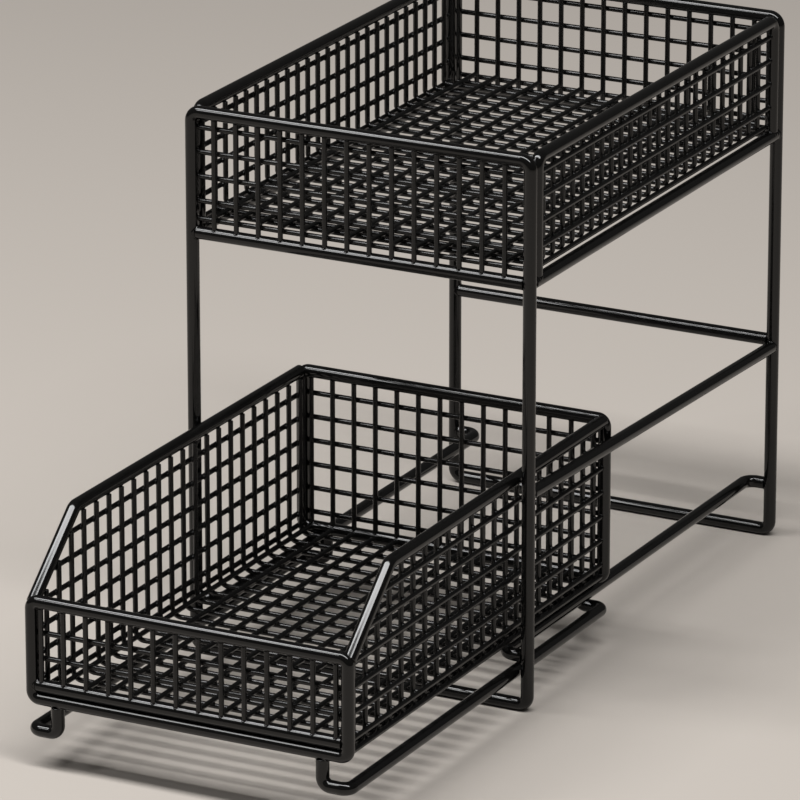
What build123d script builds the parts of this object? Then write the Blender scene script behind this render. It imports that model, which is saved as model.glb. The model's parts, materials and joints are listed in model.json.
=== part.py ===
from build123d import *
import os
from math import atan2, cos, degrees, hypot, radians, sin, sqrt

# Two-tier wire organiser with a pull-out lower basket, all of coated round wire.
# Millimetres. +Z is up, the front is towards -Y and +X is to the right seen from the front.
# The origin is on the floor, at the middle of the whole footprint with the basket pulled out.

# Wire stock
rod = 7.0                    # outer diameter of the frame rods, coating included
strand = 2.8                 # outer diameter of the mesh wires, coating included
rod_r = rod / 2
strand_r = strand / 2
weld_sink = 0.4              # how far a rod end melts into the rod that it is welded to
mesh_sink = 0.15             # how far two crossing mesh wires melt into each other

# Overall sizes
outer_width = 203.5
outer_height = 302.5
outer_depth = 495.0          # with the basket pulled out as it stands at rest
frame_depth = 310.0          # front loop to rear loop, outside
basket_width = 188.0
basket_depth = 298.0

# Frame
frame_bend = 5.0             # centre-line radius at the corners of the frame loops
hoop_bend = 5.5
hoop_inset = 7.1             # upper hoop posts stand this far inside the legs, centre to centre
upper_rail_z = 233.5
rear_mid_z = 114.6
right_mid_front_z = 119.7    # the right-hand middle rail falls a little towards the rear
right_mid_rear_z = 110.9
slide_rail_x = 84.0
slide_rail_z = 30.4
slide_rail_bend = 6.5

# Pull-out basket
basket_floor_z = 38.2        # centre height of the bottom rods of the front and back loops
basket_bend = 4.0            # the same for the basket's front and back loops
front_rim_z = 90.5
back_rim_z = 127.0
sill_gap = 0.1               # between the two stacked rods under the front mesh
rim_bend = 6.0
rim_flat_end_y = -199.5      # the side rims turn down here
rim_fall = 0.875             # fall of the sloping rim for each millimetre forwards
rim_end_gap = 1.5            # the sloping rims end this far behind the front loop's centre
runner_x = 90.5
runner_hook_x = 76.1
runner_z = 20.8
runner_bend = 4.5

# Mesh
mesh_pitch = 13.0            # across the width
mesh_uprights = 14
upper_row_z = 250.6          # lowest row of the upper walls
upper_row_pitch = 13.3
upper_rows = 4
basket_row_z = 46.3          # lowest row of the basket walls
basket_row_pitch = 13.6
basket_rows = 6
front_panel_first_row = 1    # the low front panel has only its second and third rows
front_panel_rows = 2
side_mesh_inset = 0.0        # side rows lie this far inside the rod centres
upper_floor_z = 240.8        # centre height of the cross wires where they run over the floor
upper_cross_pitch = 11.44
upper_cross_count = 24
upper_cross_bend = 2.5
upper_end_wire_y = 139.4     # two more wires cross the floor this far from the middle
upper_end_wire_x = 91.0
basket_cross_pitch = 13.0
basket_cross_count = 22
basket_cross_bend = 5.0
basket_edge_angle = 10.0     # the lowest side wire lies this far round the outside of that bend
basket_first_cross = 7.7     # rearmost cross wire, from the back loop's centre
floor_gap = 0.7              # the basket's mesh clears the slide rails by this much

# Derived places
leg_x = (outer_width - rod) / 2
floor_rod_z = rod_r
top_z = outer_height - rod_r
rear_y = outer_depth / 2 - rod_r
front_y = rear_y - frame_depth + rod
middle_y = (front_y + rear_y) / 2
basket_x = (basket_width - rod) / 2
basket_front_y = rod_r - outer_depth / 2
basket_back_y = basket_front_y + basket_depth - rod
basket_middle_y = (basket_front_y + basket_back_y) / 2
crossing = strand - mesh_sink            # centre distance of two crossing mesh wires
butt = rod - rod_r - weld_sink           # rod centre to the end of a rod welded on to it
face_offset = crossing / 2               # wires of a flat panel, each side of its plane

os.makedirs("parts", exist_ok=True)


def save(piece, name):
    """Label a finished piece and write it out."""
    piece.part.label = name
    export_step(piece.part, f"parts/{name}.step")


def bent_wire(points, bend, diameter, close=False):
    """Add a round wire that follows the points and turns each corner at the bend radius."""
    with BuildLine() as route:
        FilletPolyline(*points, radius=bend, close=close)
    with BuildSketch(Plane(route.wire() ^ 0)) as section:
        Circle(diameter / 2)
    sweep(section.sketch, path=route.wire())


def loop(half_width, y, low_z, high_z, bend):
    """Add a closed upright rectangle of rod, facing front."""
    bent_wire([(-half_width, y, low_z), (half_width, y, low_z),
               (half_width, y, high_z), (-half_width, y, high_z)], bend, rod, close=True)


def across(length, diameter, *places):
    """Add straight wires along X, centred on the places."""
    with Locations(*places):
        Cylinder(diameter / 2, length, rotation=(0, 90, 0))


def fore_and_aft(start_y, end_y, diameter, *places):
    """Add straight wires along Y, each at an (x, z) place."""
    with Locations(*[(x, (start_y + end_y) / 2, z) for x, z in places]):
        Cylinder(diameter / 2, end_y - start_y, rotation=(90, 0, 0))


def upright(low_z, high_z, diameter, *places):
    """Add straight wires along Z, each at an (x, y) place."""
    with Locations(*[(x, y, (low_z + high_z) / 2) for x, y in places]):
        Cylinder(diameter / 2, high_z - low_z)


def beside_rod(offset):
    """Distance from a rod's centre to its surface, for a wire that meets it off centre."""
    return sqrt(rod_r**2 - offset**2)


def spread(count, pitch):
    """Evenly spaced places, centred on zero."""
    return [(i - (count - 1) / 2) * pitch for i in range(count)]


mesh_x = spread(mesh_uprights, mesh_pitch)
upper_row_heights = [upper_row_z + i * upper_row_pitch for i in range(upper_rows)]
basket_row_heights = [basket_row_z + i * basket_row_pitch for i in range(basket_rows)]
sides = (("left", -1), ("right", 1))

# ---- Frame ------------------------------------------------------------------

with BuildPart() as front_frame_loop:
    loop(leg_x, front_y, floor_rod_z, top_z, frame_bend)
save(front_frame_loop, "front_frame_loop")

with BuildPart() as rear_frame_loop:
    loop(leg_x, rear_y, floor_rod_z, top_z, frame_bend)
save(rear_frame_loop, "rear_frame_loop")

cross_rod_length = 2 * (leg_x - butt)

with BuildPart() as upper_front_rail:
    across(cross_rod_length, rod, (0, front_y, upper_rail_z))
save(upper_front_rail, "upper_front_rail")

with BuildPart() as upper_rear_rail:
    across(cross_rod_length, rod, (0, rear_y, upper_rail_z))
save(upper_rear_rail, "upper_rear_rail")

with BuildPart() as rear_mid_rail:
    across(cross_rod_length, rod, (0, rear_y, rear_mid_z))
save(rear_mid_rail, "rear_mid_rail")

# The right-hand middle rail slopes, so it is a rod turned about its middle.
right_mid_slope = atan2(right_mid_front_z - right_mid_rear_z, rear_y - front_y)
with BuildPart() as right_mid_rail:
    with Locations((leg_x, middle_y, (right_mid_front_z + right_mid_rear_z) / 2)):
        Cylinder(rod_r, (rear_y - front_y - 2 * butt) / cos(right_mid_slope),
                 rotation=(90 - degrees(right_mid_slope), 0, 0))
save(right_mid_rail, "right_mid_rail")

for side, sign in sides:
    with BuildPart() as upper_side_rail:
        fore_and_aft(front_y + butt, rear_y - butt, rod, (sign * leg_x, upper_rail_z))
    save(upper_side_rail, f"upper_{side}_rail")

    # An upturned U that carries the side mesh, standing on the side rail.
    hoop_foot_z = upper_rail_z + butt
    hoop_front_y = front_y + hoop_inset
    hoop_rear_y = rear_y - hoop_inset
    with BuildPart() as hoop:
        bent_wire([(sign * leg_x, hoop_front_y, hoop_foot_z), (sign * leg_x, hoop_front_y, top_z),
                   (sign * leg_x, hoop_rear_y, top_z), (sign * leg_x, hoop_rear_y, hoop_foot_z)],
                  hoop_bend, rod)
    save(hoop, f"upper_{side}_hoop")

    # The slide rail turns out at both ends and is welded to the insides of the legs.
    rail_x = sign * slide_rail_x
    stub_x = sign * (leg_x - butt)
    with BuildPart() as slide_rail:
        bent_wire([(stub_x, front_y, slide_rail_z), (rail_x, front_y, slide_rail_z),
                   (rail_x, rear_y, slide_rail_z), (stub_x, rear_y, slide_rail_z)],
                  slide_rail_bend, rod)
    save(slide_rail, f"{side}_slide_rail")

# ---- Upper basket mesh --------------------------------------------------------

upper_long_z = upper_floor_z + crossing
upper_side_x = leg_x - side_mesh_inset
upper_cross_x = upper_side_x - crossing
upper_mesh_low_z = upper_rail_z + butt
upper_mesh_high_z = top_z - butt


def cross_wire(half_width, y, floor_z, end_z, bend):
    """Add one mesh wire that runs up a side wall, over the floor and up the other wall."""
    bent_wire([(-half_width, y, end_z), (-half_width, y, floor_z),
               (half_width, y, floor_z), (half_width, y, end_z)], bend, strand)


with BuildPart() as one_cross_wire:
    upper_cross_top_z = top_z - beside_rod(leg_x - upper_cross_x - strand_r) + weld_sink
    cross_wire(upper_cross_x, 0, upper_floor_z, upper_cross_top_z, upper_cross_bend)

with BuildPart() as upper_cross_wires:
    with Locations(*[(0, middle_y + y, 0) for y in spread(upper_cross_count, upper_cross_pitch)]):
        add(one_cross_wire.part)
save(upper_cross_wires, "upper_cross_wires")

# The floor wires lie on the cross wires and end at the uprights of both end panels.
floor_start_y = front_y - face_offset + strand_r - mesh_sink
floor_end_y = rear_y - face_offset - strand_r + mesh_sink
with BuildPart() as upper_floor_wires:
    fore_and_aft(floor_start_y, floor_end_y, strand, *[(x, upper_long_z) for x in mesh_x])
save(upper_floor_wires, "upper_floor_wires")

with BuildPart() as upper_end_wires:
    across(2 * upper_end_wire_x, strand,
           *[(0, middle_y + sign * upper_end_wire_y, upper_floor_z) for side, sign in sides])
save(upper_end_wires, "upper_end_wires")

# The lowest side wire lies in the outside of the cross wires' bend, at 45 degrees.
edge_reach = (upper_cross_bend + crossing) * cos(radians(45)) - upper_cross_bend
edge_wire = (upper_cross_x + edge_reach, upper_floor_z - edge_reach)
post_y = hoop_inset + beside_rod(side_mesh_inset) - weld_sink
for side, sign in sides:
    with BuildPart() as side_wires:
        fore_and_aft(front_y + post_y, rear_y - post_y, strand,
                     (sign * edge_wire[0], edge_wire[1]),
                     *[(sign * upper_side_x, z) for z in upper_row_heights])
    save(side_wires, f"upper_{side}_side_wires")

# In every end panel the uprights lie on the front side of the rows. The lowest row of the
# upper panels is level with the cross wires of the floor.
row_end_x = beside_rod(face_offset) - weld_sink
for place, panel_y in (("front", front_y), ("rear", rear_y)):
    with BuildPart() as uprights:
        upright(upper_mesh_low_z, upper_mesh_high_z, strand,
                *[(x, panel_y - face_offset) for x in mesh_x])
    save(uprights, f"upper_{place}_mesh_uprights")

    with BuildPart() as rows:
        across(2 * (leg_x - row_end_x), strand,
               *[(0, panel_y + face_offset, z) for z in (upper_floor_z, *upper_row_heights)])
    save(rows, f"upper_{place}_mesh_rows")

# ---- Pull-out basket rods -------------------------------------------------------

with BuildPart() as basket_front_loop:
    loop(basket_x, basket_front_y, basket_floor_z, front_rim_z, basket_bend)
save(basket_front_loop, "basket_front_loop")

with BuildPart() as basket_back_loop:
    loop(basket_x, basket_back_y, basket_floor_z, back_rim_z, basket_bend)
save(basket_back_loop, "basket_back_loop")

sill_z = basket_floor_z + rod + sill_gap
with BuildPart() as basket_front_sill:
    across(2 * (basket_x - butt), rod, (0, basket_front_y, sill_z))
save(basket_front_sill, "basket_front_sill")


def rim_height(y):
    """Centre height of a side rim."""
    return back_rim_z - max(0, rim_flat_end_y - y) * rim_fall


rim_end_y = basket_front_y + rim_end_gap
for side, sign in sides:
    with BuildPart() as rim:
        bent_wire([(sign * basket_x, basket_back_y - butt, back_rim_z),
                   (sign * basket_x, rim_flat_end_y, back_rim_z),
                   (sign * basket_x, rim_end_y, rim_height(rim_end_y))], rim_bend, rod)
    save(rim, f"basket_{side}_rim")

    # Down from the front loop, out, back beside the slide rail, in under it and up again.
    hook_x = sign * runner_hook_x
    side_x = sign * runner_x
    hook_top_z = basket_floor_z - butt
    with BuildPart() as runner:
        bent_wire([(hook_x, basket_front_y, hook_top_z), (hook_x, basket_front_y, runner_z),
                   (side_x, basket_front_y, runner_z), (side_x, basket_back_y, runner_z),
                   (hook_x, basket_back_y, runner_z), (hook_x, basket_back_y, hook_top_z)],
                  runner_bend, rod)
    save(runner, f"basket_{side}_runner")

# ---- Pull-out basket mesh --------------------------------------------------------

basket_cross_z = slide_rail_z + rod_r + floor_gap + strand_r
basket_long_z = basket_cross_z + crossing
basket_side_x = basket_x - side_mesh_inset
basket_cross_x = basket_side_x - crossing
rim_inside = beside_rod(basket_x - basket_cross_x - strand_r) - weld_sink
slope_length = hypot(1, rim_fall)
rim_slope = atan2(rim_fall, 1)


def cross_top(y):
    """Height where a cross wire ends, a little inside the rim above it."""
    if y >= rim_flat_end_y:
        return back_rim_z - rim_inside
    return rim_height(y) - rim_inside * slope_length


with BuildPart() as basket_cross_wires:
    for i in range(basket_cross_count):
        wire_y = basket_back_y - basket_first_cross - i * basket_cross_pitch
        cross_wire(basket_cross_x, wire_y, basket_cross_z, cross_top(wire_y), basket_cross_bend)
save(basket_cross_wires, "basket_cross_wires")

# The floor wires lie on the cross wires, and the outermost two in the inside of their bends.
bend_start_x = basket_cross_x - basket_cross_bend
bend_drop = sqrt((basket_cross_bend - crossing)**2 - (mesh_x[-1] - bend_start_x)**2)
outer_long_z = basket_cross_z + basket_cross_bend - bend_drop
with BuildPart() as basket_floor_wires:
    for x in mesh_x:
        wire_z = outer_long_z if abs(x) > bend_start_x else basket_long_z
        end_reach = beside_rod(basket_floor_z - wire_z) - weld_sink
        fore_and_aft(basket_front_y + end_reach, basket_back_y - end_reach, strand, (x, wire_z))
save(basket_floor_wires, "basket_floor_wires")


def row_start(z):
    """Front end of a side row: the front loop's post, or the underside of the sloping rim."""
    post_end_y = basket_front_y + beside_rod(side_mesh_inset) - weld_sink
    slope_y = rim_flat_end_y - (back_rim_z - z) / rim_fall
    slope_end_y = slope_y + (beside_rod(side_mesh_inset) - weld_sink) / sin(rim_slope)
    return max(post_end_y, slope_end_y)


row_rear_y = basket_back_y - beside_rod(side_mesh_inset) + weld_sink
edge_radius = basket_cross_bend + crossing
basket_edge_x = bend_start_x + edge_radius * cos(radians(basket_edge_angle))
basket_edge_z = (basket_cross_z + basket_cross_bend
                 - edge_radius * sin(radians(basket_edge_angle)))
side_places = [(basket_edge_x, basket_edge_z), *[(basket_side_x, z) for z in basket_row_heights]]
for side, sign in sides:
    with BuildPart() as side_rows:
        for x, z in side_places:
            fore_and_aft(row_start(z), row_rear_y, strand, (sign * x, z))
    save(side_rows, f"basket_{side}_side_wires")

front_row_heights = basket_row_heights[front_panel_first_row:][:front_panel_rows]
panels = (("front", basket_front_y, sill_z, front_rim_z, front_row_heights),
          ("back", basket_back_y, basket_floor_z, back_rim_z, basket_row_heights))
for place, panel_y, low_z, high_z, heights in panels:
    with BuildPart() as basket_uprights:
        upright(low_z + butt, high_z - butt, strand,
                *[(x, panel_y - face_offset) for x in mesh_x])
    save(basket_uprights, f"basket_{place}_mesh_uprights")

    with BuildPart() as basket_panel_rows:
        across(2 * (basket_x - row_end_x), strand,
               *[(0, panel_y + face_offset, z) for z in heights])
    save(basket_panel_rows, f"basket_{place}_mesh_rows")
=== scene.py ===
import json
from math import atan2, cos, hypot, pi, radians, sin, sqrt, tan
import bmesh
import bpy
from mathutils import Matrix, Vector


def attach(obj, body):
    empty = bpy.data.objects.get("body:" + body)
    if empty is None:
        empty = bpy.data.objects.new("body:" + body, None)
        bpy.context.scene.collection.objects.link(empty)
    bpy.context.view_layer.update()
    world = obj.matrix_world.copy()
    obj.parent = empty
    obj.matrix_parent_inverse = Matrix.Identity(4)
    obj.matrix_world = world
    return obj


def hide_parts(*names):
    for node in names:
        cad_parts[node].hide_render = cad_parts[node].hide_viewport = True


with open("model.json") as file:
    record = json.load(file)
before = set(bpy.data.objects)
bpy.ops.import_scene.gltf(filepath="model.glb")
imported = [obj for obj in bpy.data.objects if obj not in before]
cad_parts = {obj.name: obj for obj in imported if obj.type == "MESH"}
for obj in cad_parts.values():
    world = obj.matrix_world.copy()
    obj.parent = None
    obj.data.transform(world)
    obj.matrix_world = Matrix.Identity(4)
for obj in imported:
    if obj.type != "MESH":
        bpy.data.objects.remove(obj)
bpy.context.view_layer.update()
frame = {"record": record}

# Two-tier wire organiser with a pull-out lower basket, all of gloss black coated wire.
# Wire sizes and places are in millimetres and every mesh is scaled to metres as it is made.
mm = 0.001

# ---- Wire stock and weld sizes ------------------------------------------------------

rod = 7.0
strand = 2.8
rod_r = rod / 2
strand_r = strand / 2
weld_sink = 0.4
mesh_sink = 0.15
rod_fillet = 0.7             # how far the coating spreads round a rod-to-rod weld
strand_fillet = 0.3          # the same where a mesh wire meets a rod
nugget_r = 1.6               # coating pooled round two crossing mesh wires
nugget_thick = 0.7
cap_height = 0.3             # a cut wire end is rounded off this far past the end point

# Fineness of the meshes
rod_sides = 36
strand_sides = 16
bend_step = radians(7.5)     # each ring of a bend turns this far
cap_steps = 5
fillet_steps = 5
nugget_sides = 12
nugget_levels = (-60, -25, 25, 60)   # latitudes of a nugget's rings, in degrees

# ---- Driving dimensions, as in the frame ----------------------------------------------

leg_x = 98.25
floor_rod_z = 3.5
top_z = 299.0
front_y = -59.0
rear_y = 244.0
frame_bend = 5.0
hoop_bend = 5.5
hoop_inset = 7.1
upper_rail_z = 233.5
rear_mid_z = 114.6
right_mid_front_z = 119.7
right_mid_rear_z = 110.9
slide_rail_x = 84.0
slide_rail_z = 30.4
slide_rail_bend = 6.5

basket_bend = 4.0
basket_x = 90.5
basket_front_y = -244.0
basket_back_y = 47.0
basket_floor_z = 38.2
front_rim_z = 90.5
back_rim_z = 127.0
sill_gap = 0.1
rim_bend = 6.0
rim_flat_end_y = -199.5
rim_fall = 0.875
rim_end_gap = 1.5
runner_x = 90.5
runner_hook_x = 76.1
runner_z = 20.8
runner_bend = 4.5

mesh_pitch = 13.0
mesh_uprights = 14
upper_row_z = 250.6
upper_row_pitch = 13.3
upper_rows = 4
basket_row_z = 46.3
basket_row_pitch = 13.6
basket_rows = 6
front_panel_first_row = 1
front_panel_rows = 2
side_mesh_inset = 0.0
upper_floor_z = 240.8
upper_cross_pitch = 11.44
upper_cross_count = 24
upper_cross_bend = 2.5
upper_end_wire_y = 139.4
upper_end_wire_x = 91.0
basket_cross_pitch = 13.0
basket_cross_count = 22
basket_cross_bend = 5.0
basket_edge_angle = 10.0
basket_first_cross = 7.7
floor_gap = 0.7

middle_y = (front_y + rear_y) / 2
hoop_front_y = front_y + hoop_inset
hoop_rear_y = rear_y - hoop_inset
crossing = strand - mesh_sink
butt = rod - rod_r - weld_sink
face_offset = crossing / 2

# ---- Mesh building ---------------------------------------------------------------------


def spread(count, pitch):
    """Evenly spaced places, centred on zero."""
    return [(i - (count - 1) / 2) * pitch for i in range(count)]


def beside_rod(offset):
    """Distance from a rod's centre to its surface, for a wire that meets it off centre."""
    return sqrt(rod_r**2 - offset**2)


def rounded(points, bend, close=False):
    """Path of (point, direction) pairs along straight runs joined by round bends."""
    points = [Vector(p) for p in points]
    count = len(points)
    path = []
    for i, corner in enumerate(points):
        if not close and i in (0, count - 1):
            other = points[1] if i == 0 else points[-2]
            run = (other - corner if i == 0 else corner - other).normalized()
            path.append((corner, run))
            continue
        arrive = (corner - points[i - 1]).normalized()
        leave = (points[(i + 1) % count] - corner).normalized()
        turn = arrive.angle(leave)
        start = corner - arrive * bend * tan(turn / 2)
        inward = (leave - arrive * arrive.dot(leave)).normalized()
        centre = start + inward * bend
        steps = max(2, round(turn / bend_step))
        for step in range(steps + 1):
            angle = turn * step / steps
            path.append((centre - inward * bend * cos(angle) + arrive * bend * sin(angle),
                         arrive * cos(angle) + inward * sin(angle)))
    return path


def ring(bm, centre, side, up, radius, sides):
    """One ring of vertices round a wire."""
    return [bm.verts.new((centre + side * radius * cos(2 * pi * k / sides)
                          + up * radius * sin(2 * pi * k / sides)) * mm) for k in range(sides)]


def bridge(bm, first, second):
    """Join two rings with a band of faces."""
    count = len(first)
    for k in range(count):
        bm.faces.new((first[k], first[(k + 1) % count], second[(k + 1) % count], second[k]))


def dome(bm, edge, centre, outward, side, up, radius, sides, flip):
    """Close a wire's end with a shallow rounded cap."""
    last = edge
    for step in range(1, cap_steps):
        angle = radians(90) * step / cap_steps
        here = ring(bm, centre + outward * cap_height * sin(angle), side, up,
                    radius * cos(angle), sides)
        bridge(bm, *((here, last) if flip else (last, here)))
        last = here
    tip = bm.verts.new((centre + outward * cap_height) * mm)
    for k in range(sides):
        pair = (last[k], last[(k + 1) % sides])
        bm.faces.new((tip, pair[0], pair[1]) if not flip else (tip, pair[1], pair[0]))


def tube(bm, path, radius, sides, close=False):
    """Add a round wire along a path of (point, direction) pairs.

    A ring just inside each open end keeps the shading of the straight run even.
    """
    if not close:
        (first, start_run), (last, end_run) = path[0], path[-1]
        path = [path[0], (first + start_run * cap_height, start_run), *path[1:-1],
                (last - end_run * cap_height, end_run), path[-1]]
    direction = path[0][1]
    side = direction.orthogonal().normalized()
    rings = []
    frames = []
    for point, tangent in path:
        side = direction.rotation_difference(tangent) @ side
        direction = tangent
        up = tangent.cross(side)
        rings.append(ring(bm, point, side, up, radius, sides))
        frames.append((point, tangent, side.copy(), up))
    for first, second in zip(rings, rings[1:]):
        bridge(bm, first, second)
    if close:
        bridge(bm, rings[-1], rings[0])
        return
    point, tangent, side, up = frames[0]
    dome(bm, rings[0], point, -tangent, side, up, radius, sides, True)
    point, tangent, side, up = frames[-1]
    dome(bm, rings[-1], point, tangent, side, up, radius, sides, False)


def fillet(bm, point, toward, host_axis, radius, sides, reach_out, offset=0.0):
    """Coating drawn round the weld of a wire that runs toward a rod, centred offset from it.

    The point is where the two centre lines pass each other, on the wire's own line. The
    offset is the wire's distance from the rod's centre, measured along toward x host_axis.
    The coating reaches out that many millimetres on the wire and on the rod.
    """
    toward = Vector(toward).normalized()
    along = Vector(host_axis).normalized()
    across_host = toward.cross(along).normalized()
    point = Vector(point)
    host_centre = point - across_host * offset
    rings = []
    for step in range(fillet_steps + 1):
        t = step / fillet_steps
        row = []
        for k in range(sides):
            angle = 2 * pi * k / sides
            reach = min(1.0, max(-1.0, (offset + radius * sin(angle)) / rod_r))
            depth = rod_r * sqrt(1 - reach**2)
            contact = (host_centre - toward * depth + across_host * rod_r * reach
                       + along * radius * cos(angle))
            on_wire = contact - toward * reach_out
            down = toward * reach + across_host * sqrt(1 - reach**2)
            step_out = along * cos(angle) + down * sin(angle)
            on_rod = contact + step_out * reach_out
            from_axis = on_rod - host_centre
            radial = from_axis - along * from_axis.dot(along)
            on_rod = on_rod - radial + radial.normalized() * rod_r
            place = on_wire * (1 - t)**2 + contact * 2 * t * (1 - t) + on_rod * t**2
            row.append(bm.verts.new(place * mm))
        rings.append(row)
    for first, second in zip(rings, rings[1:]):
        bridge(bm, first, second)


def nugget(bm, centre, normal):
    """The flat pool of coating between two crossing mesh wires."""
    normal = Vector(normal).normalized()
    side = normal.orthogonal().normalized()
    up = normal.cross(side)
    centre = Vector(centre)
    poles = [bm.verts.new((centre + normal * end * nugget_thick) * mm) for end in (-1, 1)]
    rings = [ring(bm, centre + normal * nugget_thick * sin(radians(level)), side, up,
                  nugget_r * cos(radians(level)), nugget_sides) for level in nugget_levels]
    for first, second in zip(rings, rings[1:]):
        bridge(bm, first, second)
    for k in range(nugget_sides):
        beside = (k + 1) % nugget_sides
        bm.faces.new((poles[0], rings[0][beside], rings[0][k]))
        bm.faces.new((poles[1], rings[-1][k], rings[-1][beside]))


# ---- Materials -------------------------------------------------------------------------

coating_ior = 1.42
peel_detail = 2.0
peel_strength = 0.02
peel_depth = 0.00005         # metres
patch_size = 12              # patches of gloss and tone are this many times the peel's grain
patch_detail = 4.0
glossier = 0.04              # roughness varies by these, down and up
duller = 0.05
darker = 0.8                 # tone varies by these factors
lighter = 1.25


def coating(name, grain, base, roughness):
    """Gloss black dipped coating: a faint orange peel and slightly uneven gloss and tone."""
    material = bpy.data.materials.new(name)
    material.use_nodes = True
    nodes = material.node_tree.nodes
    links = material.node_tree.links
    shader = nodes["Principled BSDF"]
    shader.inputs["IOR"].default_value = coating_ior
    place = nodes.new("ShaderNodeTexCoord")

    peel = nodes.new("ShaderNodeTexNoise")
    peel.inputs["Scale"].default_value = grain
    peel.inputs["Detail"].default_value = peel_detail
    links.new(place.outputs["Object"], peel.inputs["Vector"])
    bump = nodes.new("ShaderNodeBump")
    bump.inputs["Strength"].default_value = peel_strength
    bump.inputs["Distance"].default_value = peel_depth
    links.new(peel.outputs["Fac"], bump.inputs["Height"])
    links.new(bump.outputs["Normal"], shader.inputs["Normal"])

    patches = nodes.new("ShaderNodeTexNoise")
    patches.inputs["Scale"].default_value = grain / patch_size
    patches.inputs["Detail"].default_value = patch_detail
    links.new(place.outputs["Object"], patches.inputs["Vector"])
    gloss = nodes.new("ShaderNodeMapRange")
    gloss.inputs["To Min"].default_value = roughness - glossier
    gloss.inputs["To Max"].default_value = roughness + duller
    links.new(patches.outputs["Fac"], gloss.inputs["Value"])
    links.new(gloss.outputs["Result"], shader.inputs["Roughness"])
    tone = nodes.new("ShaderNodeValToRGB")
    tone.color_ramp.elements[0].color = [c * darker for c in base] + [1]
    tone.color_ramp.elements[1].color = [c * lighter for c in base] + [1]
    links.new(patches.outputs["Fac"], tone.inputs["Fac"])
    links.new(tone.outputs["Color"], shader.inputs["Base Color"])
    return material


black = (0.0030, 0.0029, 0.0028)
materials = {
    "coated_rod": coating("gloss_black_rod", grain=900, base=black, roughness=0.10),
    "coated_mesh": coating("gloss_black_mesh", grain=1400, base=black, roughness=0.24),
}

# ---- Pieces ----------------------------------------------------------------------------

record = frame["record"]
node_slots = {part["node"]: part["material_slot"] for part in record["subparts"]}
node_bodies = {node: body for body, members in record["behaviour"]["bodies"].items()
               for node in members}


def piece(bm, name, body, slot, node=None):
    """Turn a finished mesh into a piece that rides on its body."""
    bmesh.ops.recalc_face_normals(bm, faces=bm.faces)
    mesh = bpy.data.meshes.new(name)
    bm.to_mesh(mesh)
    bm.free()
    mesh.shade_smooth()
    obj = bpy.data.objects.new(name, mesh)
    bpy.context.scene.collection.objects.link(obj)
    obj.data.materials.append(materials[slot])
    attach(obj, body)
    if node:
        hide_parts(node)


def wire_piece(bm, node):
    """A piece that stands for one node of the frame."""
    piece(bm, f"{node}_wire", node_bodies[node], node_slots[node], node)


def straight(bm, start, end, diameter):
    """Add a straight wire."""
    start = Vector(start)
    end = Vector(end)
    run = (end - start).normalized()
    sides = rod_sides if diameter == rod else strand_sides
    tube(bm, [(start, run), (end, run)], diameter / 2, sides)


def welded(bm, point, toward, host_axis, diameter, offset=0.0):
    """Add the coating round one welded wire end."""
    thick = diameter == rod
    fillet(bm, point, toward, host_axis, diameter / 2, rod_sides if thick else strand_sides,
           rod_fillet if thick else strand_fillet, offset)


X = Vector((1, 0, 0))
Y = Vector((0, 1, 0))
Z = Vector((0, 0, 1))
mesh_x = spread(mesh_uprights, mesh_pitch)
upper_row_heights = [upper_row_z + i * upper_row_pitch for i in range(upper_rows)]
basket_row_heights = [basket_row_z + i * basket_row_pitch for i in range(basket_rows)]
sides = (("left", -1), ("right", 1))


def loop_piece(node, half_width, y, low_z, high_z, bend):
    """A closed upright rectangle of rod, facing front."""
    bm = bmesh.new()
    corners = [(-half_width, y, low_z), (half_width, y, low_z),
               (half_width, y, high_z), (-half_width, y, high_z)]
    tube(bm, rounded(corners, bend, close=True), rod_r, rod_sides, close=True)
    wire_piece(bm, node)


def across_piece(node, half_width, y, z):
    """A rod across the object, butted between two posts."""
    bm = bmesh.new()
    reach = half_width - butt
    straight(bm, (-reach, y, z), (reach, y, z), rod)
    for sign in (-1, 1):
        welded(bm, (sign * half_width, y, z), X * sign, Z, rod)
    wire_piece(bm, node)


# ---- Frame -----------------------------------------------------------------------------

loop_piece("front_frame_loop", leg_x, front_y, floor_rod_z, top_z, frame_bend)
loop_piece("rear_frame_loop", leg_x, rear_y, floor_rod_z, top_z, frame_bend)
across_piece("upper_front_rail", leg_x, front_y, upper_rail_z)
across_piece("upper_rear_rail", leg_x, rear_y, upper_rail_z)
across_piece("rear_mid_rail", leg_x, rear_y, rear_mid_z)

right_mid = bmesh.new()
mid_run = Vector((0, rear_y - front_y, right_mid_rear_z - right_mid_front_z)).normalized()
mid_front = Vector((leg_x, front_y, right_mid_front_z))
mid_rear = Vector((leg_x, rear_y, right_mid_rear_z))
straight(right_mid, mid_front + mid_run * butt, mid_rear - mid_run * butt, rod)
welded(right_mid, mid_front, -mid_run, Z, rod)
welded(right_mid, mid_rear, mid_run, Z, rod)
wire_piece(right_mid, "right_mid_rail")

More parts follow.
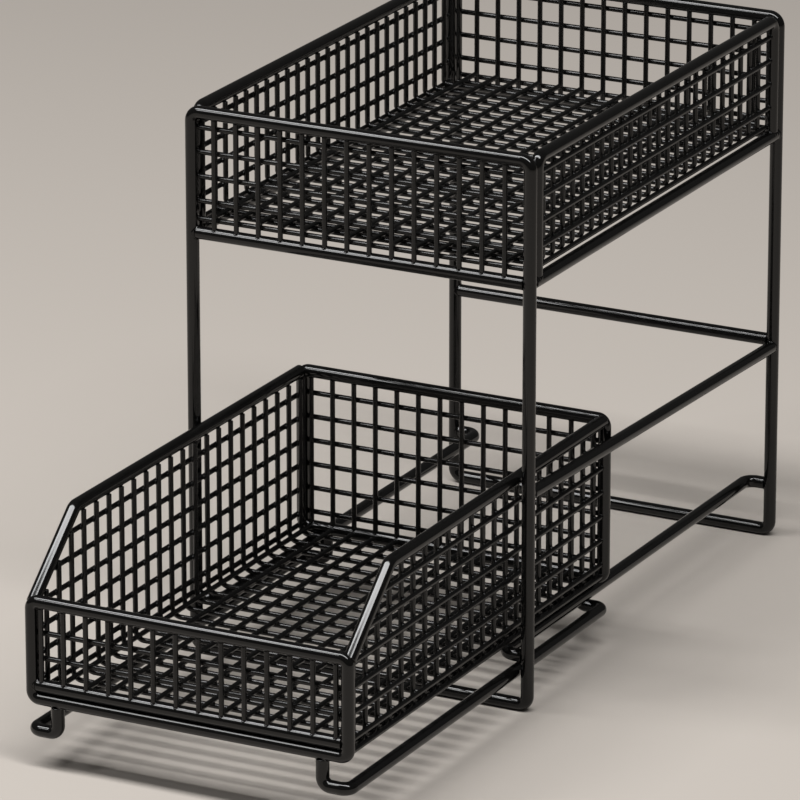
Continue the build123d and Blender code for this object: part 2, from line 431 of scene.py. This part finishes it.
for side, sign in sides:
    side_rail = bmesh.new()
    x = sign * leg_x
    straight(side_rail, (x, front_y + butt, upper_rail_z), (x, rear_y - butt, upper_rail_z), rod)
    welded(side_rail, (x, front_y, upper_rail_z), -Y, Z, rod)
    welded(side_rail, (x, rear_y, upper_rail_z), Y, Z, rod)
    wire_piece(side_rail, f"upper_{side}_rail")

    hoop = bmesh.new()
    foot_z = upper_rail_z + butt
    corners = [(x, hoop_front_y, foot_z), (x, hoop_front_y, top_z),
               (x, hoop_rear_y, top_z), (x, hoop_rear_y, foot_z)]
    tube(hoop, rounded(corners, hoop_bend), rod_r, rod_sides)
    for foot_y in (hoop_front_y, hoop_rear_y):
        welded(hoop, (x, foot_y, upper_rail_z), -Z, Y, rod)
    wire_piece(hoop, f"upper_{side}_hoop")

    slide_rail = bmesh.new()
    rail_x = sign * slide_rail_x
    stub_x = sign * (leg_x - butt)
    corners = [(stub_x, front_y, slide_rail_z), (rail_x, front_y, slide_rail_z),
               (rail_x, rear_y, slide_rail_z), (stub_x, rear_y, slide_rail_z)]
    tube(slide_rail, rounded(corners, slide_rail_bend), rod_r, rod_sides)
    for stub_y in (front_y, rear_y):
        welded(slide_rail, (x, stub_y, slide_rail_z), X * sign, Z, rod)
    wire_piece(slide_rail, f"{side}_slide_rail")

# ---- Upper basket mesh -----------------------------------------------------------------

upper_long_z = upper_floor_z + crossing
upper_side_x = leg_x - side_mesh_inset
upper_cross_x = upper_side_x - crossing
upper_cross_y = [middle_y + y for y in spread(upper_cross_count, upper_cross_pitch)]
upper_inset = leg_x - upper_cross_x
upper_cross_top_z = top_z - beside_rod(upper_inset - strand_r) + weld_sink
edge_reach = (upper_cross_bend + crossing) * cos(radians(45)) - upper_cross_bend
edge_x = upper_cross_x + edge_reach
edge_z = upper_floor_z - edge_reach


def cross_wire(bm, half_width, y, floor_z, end_z, bend):
    """Add one mesh wire up a side wall, over the floor and up the other wall."""
    corners = [(-half_width, y, end_z), (-half_width, y, floor_z),
               (half_width, y, floor_z), (half_width, y, end_z)]
    tube(bm, rounded(corners, bend), strand_r, strand_sides)


def rim_welds(bm, half_width, y, rim_z, inset):
    """Add the coating where both ends of a cross wire meet level side rims."""
    for sign in (-1, 1):
        welded(bm, (sign * half_width, y, rim_z), Z, Y, strand, sign * inset)


cross_wires = bmesh.new()
for y in upper_cross_y:
    cross_wire(cross_wires, upper_cross_x, y, upper_floor_z, upper_cross_top_z,
               upper_cross_bend)
    rim_welds(cross_wires, upper_cross_x, y, top_z, upper_inset)
wire_piece(cross_wires, "upper_cross_wires")

floor_wires = bmesh.new()
floor_start_y = front_y - face_offset + strand_r - mesh_sink
floor_end_y = rear_y - face_offset - strand_r + mesh_sink
for x in mesh_x:
    straight(floor_wires, (x, floor_start_y, upper_long_z), (x, floor_end_y, upper_long_z),
             strand)
wire_piece(floor_wires, "upper_floor_wires")

end_wires = bmesh.new()
upper_end_y = [middle_y - upper_end_wire_y, middle_y + upper_end_wire_y]
for y in upper_end_y:
    straight(end_wires, (-upper_end_wire_x, y, upper_floor_z),
             (upper_end_wire_x, y, upper_floor_z), strand)
wire_piece(end_wires, "upper_end_wires")

post_reach = beside_rod(side_mesh_inset) - weld_sink
for side, sign in sides:
    side_wires = bmesh.new()
    places = [(edge_x, edge_z)] + [(upper_side_x, z) for z in upper_row_heights]
    for x, z in places:
        straight(side_wires, (sign * x, hoop_front_y + post_reach, z),
                 (sign * x, hoop_rear_y - post_reach, z), strand)
        inset = sign * (leg_x - x)
        welded(side_wires, (sign * x, hoop_front_y, z), -Y, Z, strand, inset)
        welded(side_wires, (sign * x, hoop_rear_y, z), Y, Z, strand, -inset)
    wire_piece(side_wires, f"upper_{side}_side_wires")


def end_panel(name, half_width, panel_y, low_rod_z, high_rod_z, heights):
    """Uprights on the front side and rows on the rear side of an end panel."""
    uprights = bmesh.new()
    y = panel_y - face_offset
    for x in mesh_x:
        straight(uprights, (x, y, low_rod_z + butt), (x, y, high_rod_z - butt), strand)
        welded(uprights, (x, y, low_rod_z), -Z, X, strand, face_offset)
        welded(uprights, (x, y, high_rod_z), Z, X, strand, -face_offset)
    wire_piece(uprights, f"{name}_mesh_uprights")

    rows = bmesh.new()
    reach = half_width - beside_rod(face_offset) + weld_sink
    y = panel_y + face_offset
    for z in heights:
        straight(rows, (-reach, y, z), (reach, y, z), strand)
        for sign in (-1, 1):
            welded(rows, (sign * half_width, y, z), X * sign, Z, strand, -sign * face_offset)
    wire_piece(rows, f"{name}_mesh_rows")


upper_panel_heights = [upper_floor_z, *upper_row_heights]
end_panel("upper_front", leg_x, front_y, upper_rail_z, top_z, upper_panel_heights)
end_panel("upper_rear", leg_x, rear_y, upper_rail_z, top_z, upper_panel_heights)

# ---- Pull-out basket rods --------------------------------------------------------------

sill_z = basket_floor_z + rod + sill_gap
loop_piece("basket_front_loop", basket_x, basket_front_y, basket_floor_z, front_rim_z,
           basket_bend)
loop_piece("basket_back_loop", basket_x, basket_back_y, basket_floor_z, back_rim_z, basket_bend)
across_piece("basket_front_sill", basket_x, basket_front_y, sill_z)


def rim_height(y):
    """Centre height of a side rim."""
    return back_rim_z - max(0, rim_flat_end_y - y) * rim_fall


rim_end_y = basket_front_y + rim_end_gap
for side, sign in sides:
    rim = bmesh.new()
    x = sign * basket_x
    corners = [(x, basket_back_y - butt, back_rim_z), (x, rim_flat_end_y, back_rim_z),
               (x, rim_end_y, rim_height(rim_end_y))]
    tube(rim, rounded(corners, rim_bend), rod_r, rod_sides)
    wire_piece(rim, f"basket_{side}_rim")

    runner = bmesh.new()
    hook_x = sign * runner_hook_x
    side_x = sign * runner_x
    hook_top_z = basket_floor_z - butt
    corners = [(hook_x, basket_front_y, hook_top_z), (hook_x, basket_front_y, runner_z),
               (side_x, basket_front_y, runner_z), (side_x, basket_back_y, runner_z),
               (hook_x, basket_back_y, runner_z), (hook_x, basket_back_y, hook_top_z)]
    tube(runner, rounded(corners, runner_bend), rod_r, rod_sides)
    for hook_y in (basket_front_y, basket_back_y):
        welded(runner, (hook_x, hook_y, basket_floor_z), Z, X, rod)
    wire_piece(runner, f"basket_{side}_runner")

# ---- Pull-out basket mesh --------------------------------------------------------------

basket_cross_z = slide_rail_z + rod_r + floor_gap + strand_r
basket_long_z = basket_cross_z + crossing
basket_side_x = basket_x - side_mesh_inset
basket_cross_x = basket_side_x - crossing
basket_inset = basket_x - basket_cross_x
rim_inside = beside_rod(basket_inset - strand_r) - weld_sink
slope_length = hypot(1, rim_fall)
rim_slope = atan2(rim_fall, 1)
basket_cross_y = [basket_back_y - basket_first_cross - i * basket_cross_pitch
                  for i in range(basket_cross_count)]


def cross_top(y):
    """Height where a cross wire ends, a little inside the rim above it."""
    if y >= rim_flat_end_y:
        return back_rim_z - rim_inside
    return rim_height(y) - rim_inside * slope_length


cross_wires = bmesh.new()
for y in basket_cross_y:
    cross_wire(cross_wires, basket_cross_x, y, basket_cross_z, cross_top(y), basket_cross_bend)
    if y >= rim_flat_end_y:
        rim_welds(cross_wires, basket_cross_x, y, back_rim_z, basket_inset)
wire_piece(cross_wires, "basket_cross_wires")

bend_start_x = basket_cross_x - basket_cross_bend
bend_drop = sqrt((basket_cross_bend - crossing)**2 - (mesh_x[-1] - bend_start_x)**2)
outer_long_z = basket_cross_z + basket_cross_bend - bend_drop
floor_wires = bmesh.new()
for x in mesh_x:
    z = outer_long_z if abs(x) > bend_start_x else basket_long_z
    end_reach = beside_rod(basket_floor_z - z) - weld_sink
    for end_y, toward in ((basket_front_y, -Y), (basket_back_y, Y)):
        welded(floor_wires, (x, end_y, z), toward, X, strand, toward.y * (basket_floor_z - z))
    straight(floor_wires, (x, basket_front_y + end_reach, z),
             (x, basket_back_y - end_reach, z), strand)
wire_piece(floor_wires, "basket_floor_wires")


def row_start(z):
    """Front end of a side row: the front loop's post, or the underside of the sloping rim."""
    post_end_y = basket_front_y + post_reach
    slope_y = rim_flat_end_y - (back_rim_z - z) / rim_fall
    return max(post_end_y, slope_y + post_reach / sin(rim_slope))


edge_radius = basket_cross_bend + crossing
basket_edge_x = bend_start_x + edge_radius * cos(radians(basket_edge_angle))
basket_edge_z = (basket_cross_z + basket_cross_bend
                 - edge_radius * sin(radians(basket_edge_angle)))
side_places = [(basket_edge_x, basket_edge_z), *[(basket_side_x, z) for z in basket_row_heights]]
for side, sign in sides:
    side_rows = bmesh.new()
    for x, z in side_places:
        straight(side_rows, (sign * x, row_start(z), z),
                 (sign * x, basket_back_y - post_reach, z), strand)
        welded(side_rows, (sign * x, basket_back_y, z), Y, Z, strand,
               -sign * (basket_x - x))
    wire_piece(side_rows, f"basket_{side}_side_wires")

front_row_heights = basket_row_heights[front_panel_first_row:][:front_panel_rows]
end_panel("basket_front", basket_x, basket_front_y, sill_z, front_rim_z, front_row_heights)
end_panel("basket_back", basket_x, basket_back_y, basket_floor_z, back_rim_z,
          basket_row_heights)

# ---- Welds where mesh wires cross ------------------------------------------------------

upper_welds = bmesh.new()
basket_welds = bmesh.new()
for y in upper_cross_y + upper_end_y:
    for x in mesh_x:
        nugget(upper_welds, (x, y, upper_floor_z + face_offset), Z)
for y in upper_cross_y:
    for side, sign in sides:
        for z in upper_row_heights:
            nugget(upper_welds, (sign * (upper_side_x - face_offset), y, z), X)
for y in basket_cross_y:
    for x in mesh_x:
        if abs(x) <= bend_start_x:
            nugget(basket_welds, (x, y, basket_cross_z + face_offset), Z)
    for side, sign in sides:
        for z in basket_row_heights:
            if row_start(z) < y:
                nugget(basket_welds, (sign * (basket_side_x - face_offset), y, z), X)
for bm, panel_y, heights in ((upper_welds, front_y, upper_panel_heights),
                             (upper_welds, rear_y, upper_panel_heights),
                             (basket_welds, basket_front_y, front_row_heights),
                             (basket_welds, basket_back_y, basket_row_heights)):
    for x in mesh_x:
        for z in heights:
            nugget(bm, (x, panel_y, z), Y)
piece(upper_welds, "upper_mesh_welds", "frame", "coated_mesh")
piece(basket_welds, "basket_mesh_welds", "lower_basket", "coated_mesh")

# ---- Stage, light and camera -----------------------------------------------------------

# From here on, lengths are in metres.
floor_size = 14.0
floor_colour = (0.46, 0.42, 0.38)
floor_roughness = 0.6
studio_colour = (1.0, 0.97, 0.93)
studio_level = 0.08
object_middle = Vector((0, 0, 0.15))

floor_mesh = bpy.data.meshes.new("studio_floor")
floor_bm = bmesh.new()
bmesh.ops.create_grid(floor_bm, x_segments=1, y_segments=1, size=floor_size / 2)
floor_bm.to_mesh(floor_mesh)
floor_bm.free()
floor = bpy.data.objects.new("studio_floor", floor_mesh)
bpy.context.scene.collection.objects.link(floor)

floor_material = bpy.data.materials.new("pale_floor")
floor_material.use_nodes = True
floor_shader = floor_material.node_tree.nodes["Principled BSDF"]
floor_shader.inputs["Base Color"].default_value = (*floor_colour, 1)
floor_shader.inputs["Roughness"].default_value = floor_roughness
floor_mesh.materials.append(floor_material)

world = bpy.data.worlds.new("studio")
world.use_nodes = True
background = world.node_tree.nodes["Background"]
background.inputs["Color"].default_value = (*studio_colour, 1)
background.inputs["Strength"].default_value = studio_level
bpy.context.scene.world = world


def softbox(name, direction, distance, width, height, power):
    """A soft rectangular light aimed at the middle of the object."""
    light = bpy.data.lights.new(name, "AREA")
    light.shape = "RECTANGLE"
    light.size = width
    light.size_y = height
    light.energy = power
    obj = bpy.data.objects.new(name, light)
    direction = Vector(direction).normalized()
    obj.location = object_middle + direction * distance
    obj.rotation_euler = direction.to_track_quat("Z", "Y").to_euler()
    bpy.context.scene.collection.objects.link(obj)


softbox("strip_softbox", (0, -0.267, 0.964), distance=3.0, width=5.0, height=0.6, power=165)
softbox("key_softbox", (-0.44, -0.53, 0.73), distance=3.0, width=0.5, height=0.9, power=16)

camera_azimuth = radians(27.393)
camera_elevation = radians(18.835)
camera_place = Vector((1607.576, -3115.022, 1333.435)) * mm
focal_px = 7020.5
frame_px = 800
half_pixel = 0.5 / frame_px
toward_camera = Vector((sin(camera_azimuth) * cos(camera_elevation),
                        -cos(camera_azimuth) * cos(camera_elevation), sin(camera_elevation)))
camera_data = bpy.data.cameras.new("photo_camera")
camera_data.sensor_width = 36
camera_data.lens = focal_px / frame_px * camera_data.sensor_width
camera_data.shift_x = -half_pixel
camera_data.shift_y = half_pixel
camera_data.clip_end = 50
camera = bpy.data.objects.new("photo_camera", camera_data)
camera.location = camera_place
camera.rotation_euler = toward_camera.to_track_quat("Z", "Y").to_euler()
bpy.context.scene.collection.objects.link(camera)
bpy.context.scene.camera = camera
bpy.context.scene.view_settings.view_transform = "Standard"
